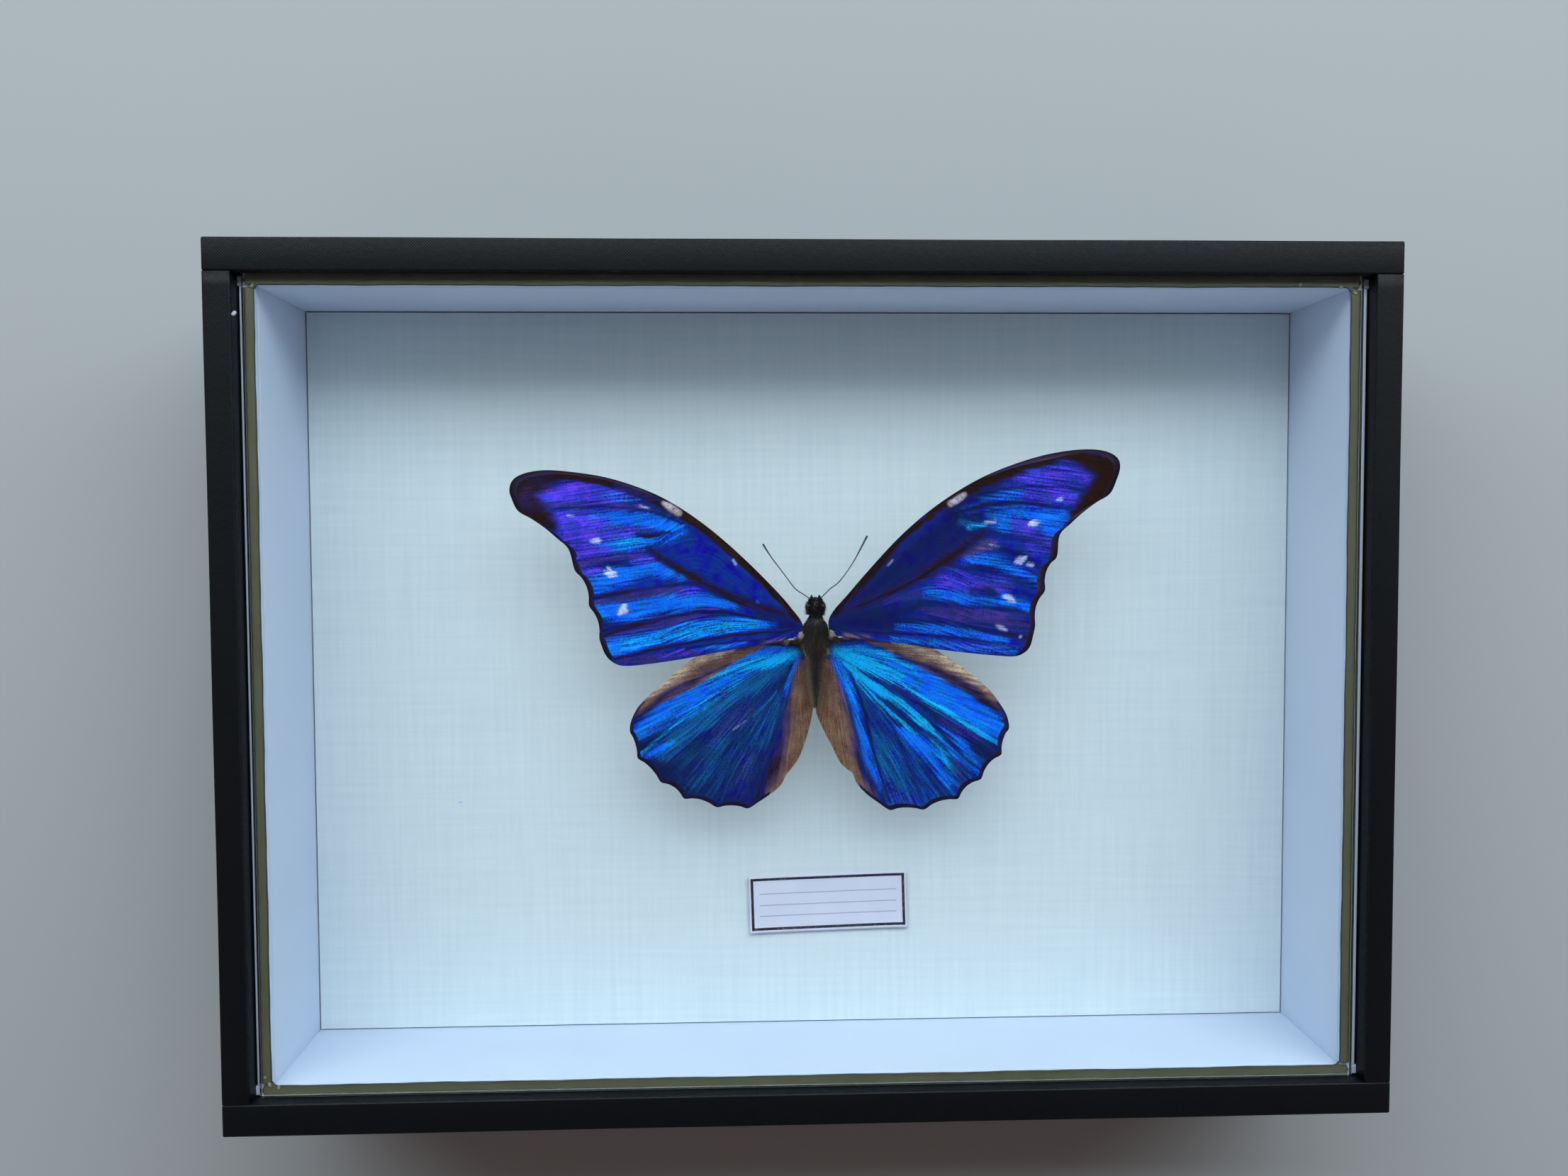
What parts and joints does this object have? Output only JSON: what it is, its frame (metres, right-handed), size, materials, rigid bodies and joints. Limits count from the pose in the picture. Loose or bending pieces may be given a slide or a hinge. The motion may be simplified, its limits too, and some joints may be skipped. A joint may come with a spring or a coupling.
{
  "type": "framed butterfly specimen",
  "caption": "Shallow glazed insect box, black outside and white inside, holding a set iridescent blue butterfly on a pin above a textured white card with a ruled blank label.",
  "frame": {"origin": "middle of the flat back face that the box rests on", "axes": "+X along the length of the box, towards its right side seen from the front; +Y across it, towards the butterfly's head and away from the label; +Z out through the glass"},
  "size_m": [0.26, 0.195, 0.054],
  "materials": {
    "black_cloth_paper": "linen-grained black covering paper glued over board, satin",
    "white_card": "smooth matt white card",
    "canvas_textured_card": "matt white card embossed with a fine canvas weave",
    "printed_label_card": "matt white card printed with a thin black border and three grey rules",
    "olive_gummed_tape": "olive gummed paper tape, slightly rough at its edges",
    "picture_glass": "clear float glass",
    "white_foam": "fine closed-cell foam",
    "blue_wing_scales": "iridescent blue scales on a thin chitin membrane",
    "black_body_hair": "short matt hair over dark chitin",
    "black_enamelled_steel": "black enamel on steel wire"
  },
  "bodies": {
    "root": {"lid_rail_top": "black_cloth_paper", "lid_rail_bottom": "black_cloth_paper", "lid_rail_left": "black_cloth_paper", "lid_rail_right": "black_cloth_paper", "lid_ledge_top": "white_card", "lid_ledge_bottom": "white_card", "lid_ledge_left": "white_card", "lid_ledge_right": "white_card", "pane_tape_top": "olive_gummed_tape", "pane_tape_bottom": "olive_gummed_tape", "pane_tape_left": "olive_gummed_tape", "pane_tape_right": "olive_gummed_tape", "glass_pane": "picture_glass", "base_wall_top": "black_cloth_paper", "base_wall_bottom": "black_cloth_paper", "base_wall_left": "black_cloth_paper", "base_wall_right": "black_cloth_paper", "bottom_board": "black_cloth_paper", "liner_top": "white_card", "liner_bottom": "white_card", "liner_left": "white_card", "liner_right": "white_card", "foam_slab": "white_foam", "background_card": "canvas_textured_card", "label": "printed_label_card", "butterfly_body": "black_body_hair", "forewing_left": "blue_wing_scales", "forewing_right": "blue_wing_scales", "hindwing_left": "blue_wing_scales", "hindwing_right": "blue_wing_scales", "antenna_left": "black_body_hair", "antenna_right": "black_body_hair", "pin": "black_enamelled_steel"}
  },
  "joints": []
}
